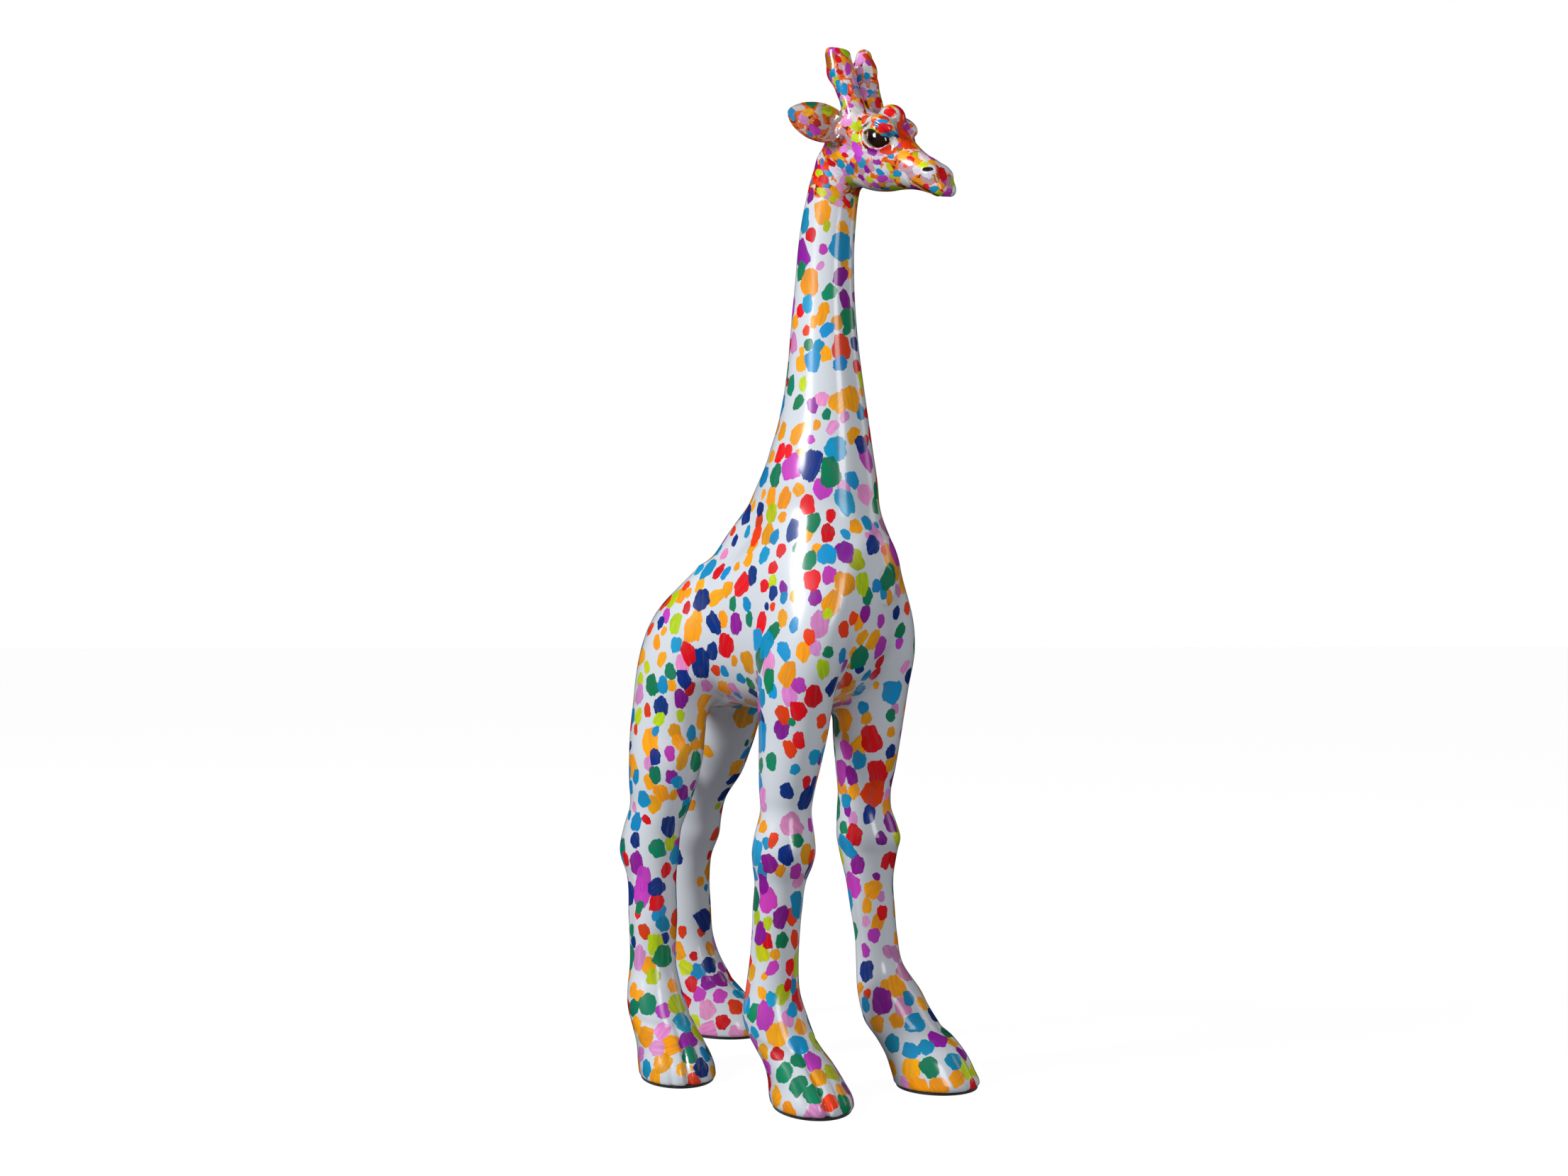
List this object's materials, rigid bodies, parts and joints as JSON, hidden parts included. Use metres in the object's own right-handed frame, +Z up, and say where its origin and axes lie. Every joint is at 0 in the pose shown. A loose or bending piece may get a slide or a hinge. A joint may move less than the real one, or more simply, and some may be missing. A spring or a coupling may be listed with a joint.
{
  "type": "giraffe figure",
  "caption": "Free-standing walking giraffe figure with a long upright neck, splayed hooves and lacquered dab-painted surface.",
  "frame": {"origin": "on the floor under the middle of the figure's outline seen from above", "axes": "+X the way the giraffe faces, +Y its left side, +Z up"},
  "size_m": [0.2712, 0.1436, 0.6119],
  "materials": {
    "dabbed_lacquer": "white gloss lacquer with hand-painted dabs in about ten bright colours",
    "painted_head": "gloss lacquer, covered all over with small overlapping dabs",
    "plain_resin": "plain white gloss lacquer",
    "eye_glass": "dark brown glass, polished",
    "steel_rod": "drawn steel bar, as cut",
    "felt_pad": "black felt"
  },
  "bodies": {
    "root": {"torso_shell": "dabbed_lacquer", "belly_plug": "plain_resin", "neck": "dabbed_lacquer", "neck_rod": "steel_rod", "head": "painted_head", "eye_right": "eye_glass", "eye_left": "eye_glass", "ear_right": "painted_head", "ear_left": "painted_head", "horn_right": "painted_head", "horn_left": "painted_head", "leg_front_right": "dabbed_lacquer", "leg_front_left": "dabbed_lacquer", "leg_rear_right": "dabbed_lacquer", "leg_rear_left": "dabbed_lacquer", "leg_rod_front_right": "steel_rod", "leg_rod_front_left": "steel_rod", "leg_rod_rear_right": "steel_rod", "leg_rod_rear_left": "steel_rod", "tail": "dabbed_lacquer", "tail_wire": "steel_rod", "pad_front_right": "felt_pad", "pad_front_left": "felt_pad", "pad_rear_right": "felt_pad", "pad_rear_left": "felt_pad"}
  },
  "joints": []
}
